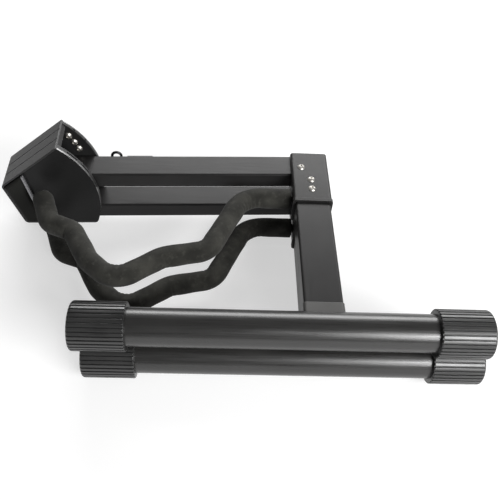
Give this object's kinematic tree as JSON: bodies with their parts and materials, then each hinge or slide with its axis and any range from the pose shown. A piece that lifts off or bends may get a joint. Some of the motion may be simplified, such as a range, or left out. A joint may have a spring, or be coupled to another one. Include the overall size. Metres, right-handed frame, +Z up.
{
  "type": "saxophone stand",
  "caption": "Folding saxophone stand, folded flat: two foot tubes on box legs, rails that fold back into a fan-shaped head, and bent foam-covered arms.",
  "frame": {"origin": "middle of the bounding box, on its underside", "axes": "+X along the foot tubes towards the legs, +Y from the feet towards the rails and head, +Z up out of the folded stand's flat side"},
  "size_m": [0.416, 0.2165, 0.1019],
  "materials": {
    "black_aluminium": "satin black anodised",
    "black_steel": "satin black paint",
    "cap_rubber": "matte",
    "foam": "matte closed-cell foam",
    "bright_steel": "bright",
    "black_plastic": "matte",
    "textured_plastic": "fine-textured"
  },
  "bodies": {
    "head": {"head_shell": "black_aluminium", "front_cover": "black_aluminium", "front_core": "black_plastic", "rear_liner": "textured_plastic", "rear_cover": "black_aluminium", "head_screws": "bright_steel", "spread_pin": "bright_steel", "lower_rail_pin": "bright_steel", "pin_spacers": "black_plastic", "end_pad": "cap_rubber", "cheek_trim": "bright_steel", "rail_lower": "black_aluminium", "rail_plug_lower": "black_plastic", "rail_tongue_lower": "black_aluminium"},
    "leg_lower": {"foot_tube_lower": "black_aluminium", "foot_cap_lower_left": "cap_rubber", "foot_cap_lower_right": "cap_rubber", "leg_lower": "black_aluminium", "leg_weld_lower": "black_aluminium", "hinge_sleeve_lower": "black_steel", "sleeve_rivets_lower": "bright_steel", "fold_pin_lower": "bright_steel", "fold_washers_lower": "black_plastic", "arm_rod_lower": "black_steel", "arm_foam_lower": "foam", "arm_nut_lower": "bright_steel"},
    "rail_upper": {"rail_upper": "black_aluminium", "rail_plug_upper": "black_plastic", "rail_tongue_upper": "black_aluminium", "lock_guide": "black_plastic", "lock_spring": "bright_steel"},
    "leg_upper": {"foot_tube_upper": "black_aluminium", "foot_cap_upper_left": "cap_rubber", "foot_cap_upper_right": "cap_rubber", "leg_upper": "black_aluminium", "leg_weld_upper": "black_aluminium", "hinge_sleeve_upper": "black_steel", "sleeve_rivets_upper": "bright_steel", "fold_pin_upper": "bright_steel", "fold_washers_upper": "black_plastic", "arm_rod_upper": "black_steel", "arm_foam_upper": "foam", "arm_nut_upper": "bright_steel"},
    "lock": {"lock_bolt": "bright_steel"}
  },
  "joints": [
    {"name": "leg_fold_lower", "type": "hinge", "parent": "head", "child": "leg_lower", "pos_m": [0.0716, 0.08611, 0.01915], "axis": [0, 0, 1], "range_deg": [0, 92.8]},
    {"name": "rail_spread", "type": "hinge", "parent": "head", "child": "rail_upper", "pos_m": [-0.19079, 0.08162, 0.05785], "axis": [0.0483, -0.9988, 0], "range_deg": [0, 35]},
    {"name": "leg_fold_upper", "type": "hinge", "parent": "rail_upper", "child": "leg_upper", "pos_m": [0.0673, 0.0859, 0.05785], "axis": [0, 0, 1], "range_deg": [0, 92.8]},
    {"name": "lock_slide", "type": "slide", "parent": "rail_upper", "child": "lock", "axis": [-0.9988, -0.0483, 0], "range_m": [0, 0.009]}
  ]
}
